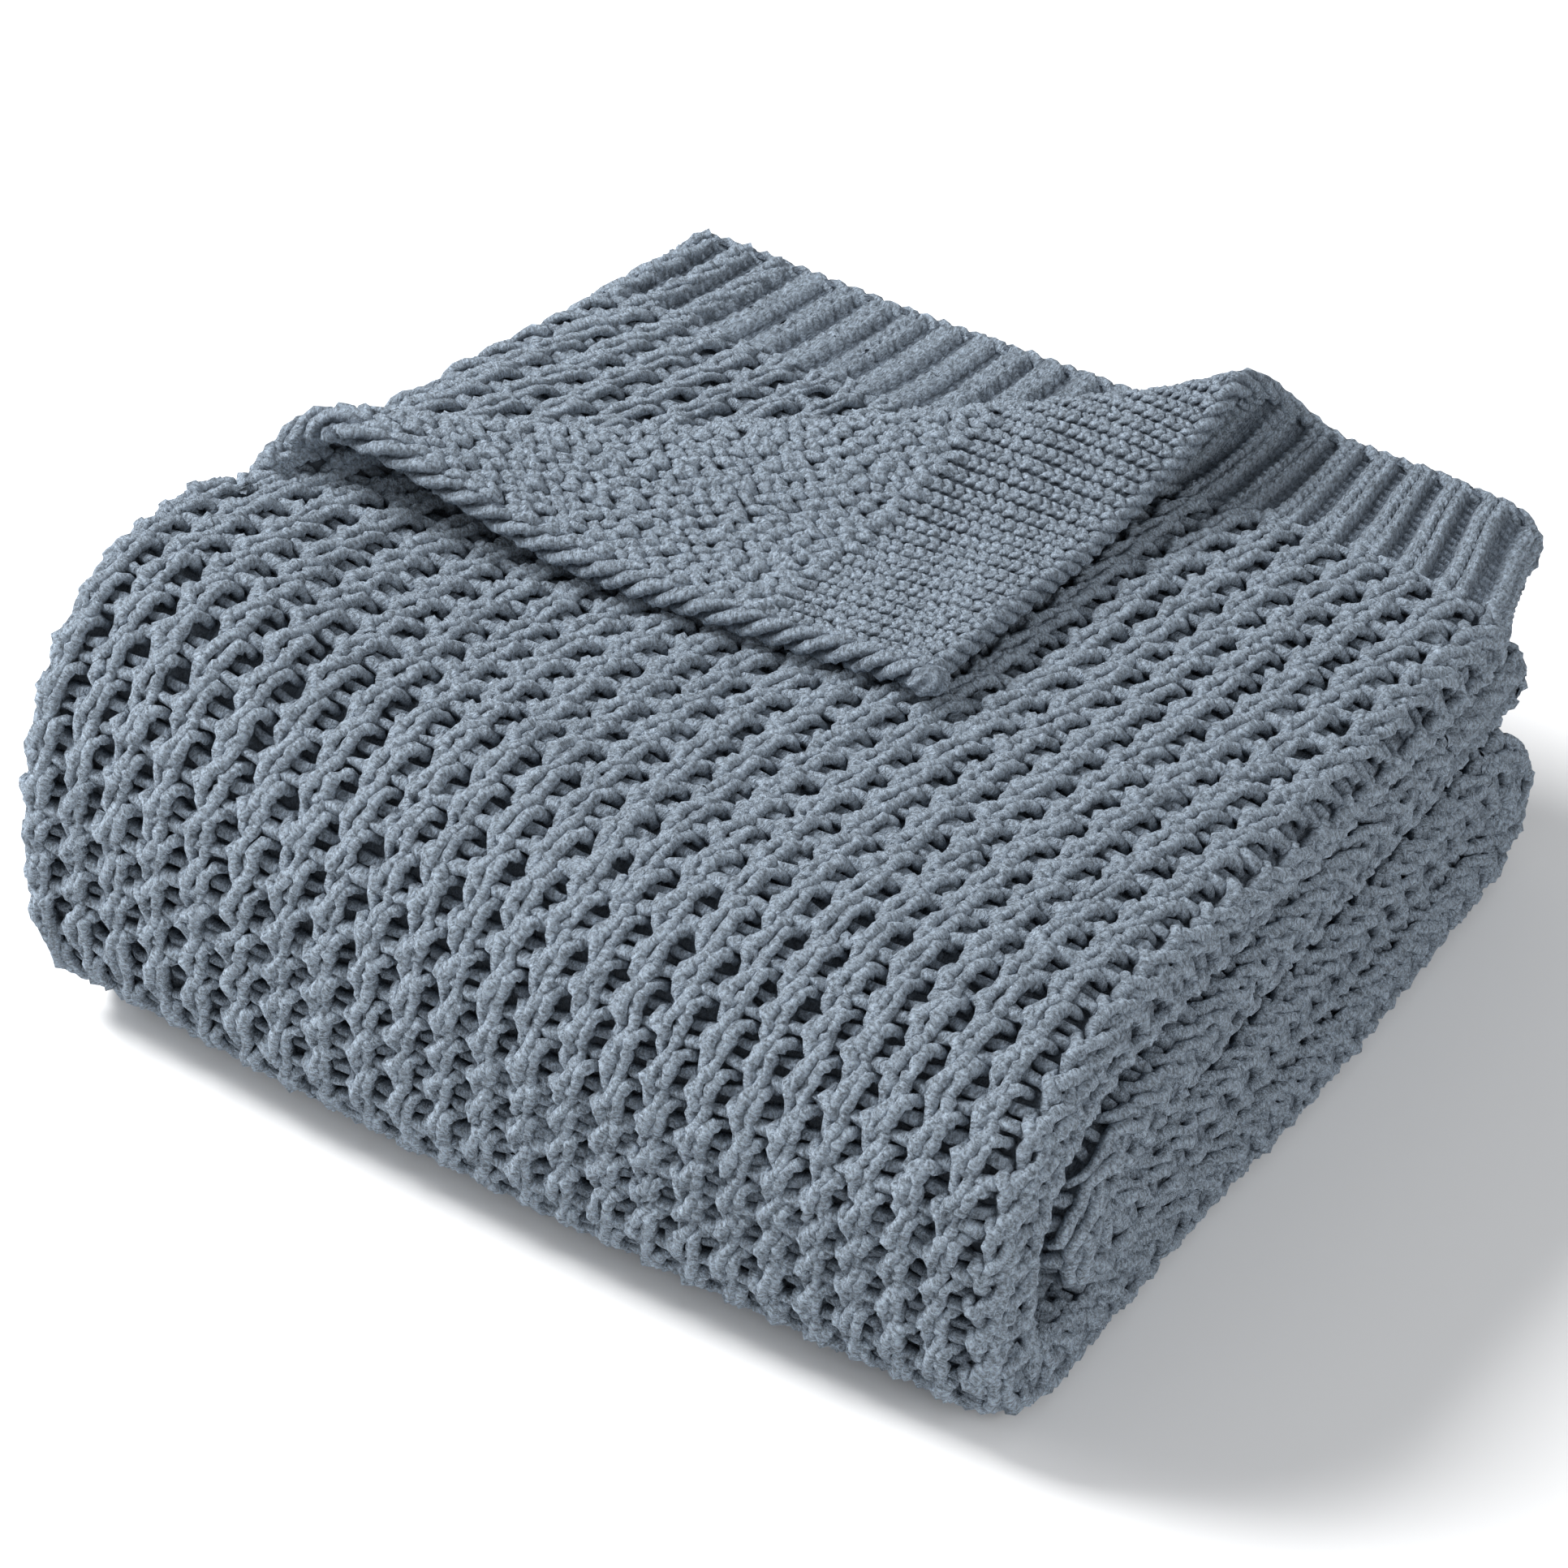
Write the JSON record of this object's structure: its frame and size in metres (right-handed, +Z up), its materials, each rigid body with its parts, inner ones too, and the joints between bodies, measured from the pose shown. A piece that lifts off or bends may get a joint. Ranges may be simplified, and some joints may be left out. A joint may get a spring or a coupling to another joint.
{
  "type": "folded waffle knit throw blanket",
  "caption": "Chunky slate blue waffle knit throw of velvety yarn, folded in thirds and quarters, with ribbed hems and one back corner turned over onto the top.",
  "frame": {"origin": "on the surface that the bundle rests on, in the middle under its box", "axes": "+X to the right along the rounded front fold, +Y to the back where the ribbed hem lies, +Z up"},
  "size_m": [0.4626, 0.4224, 0.2074],
  "materials": {
    "yarn": "velvety chunky knit"
  },
  "bodies": {
    "root": {"throw": "yarn"}
  },
  "joints": []
}
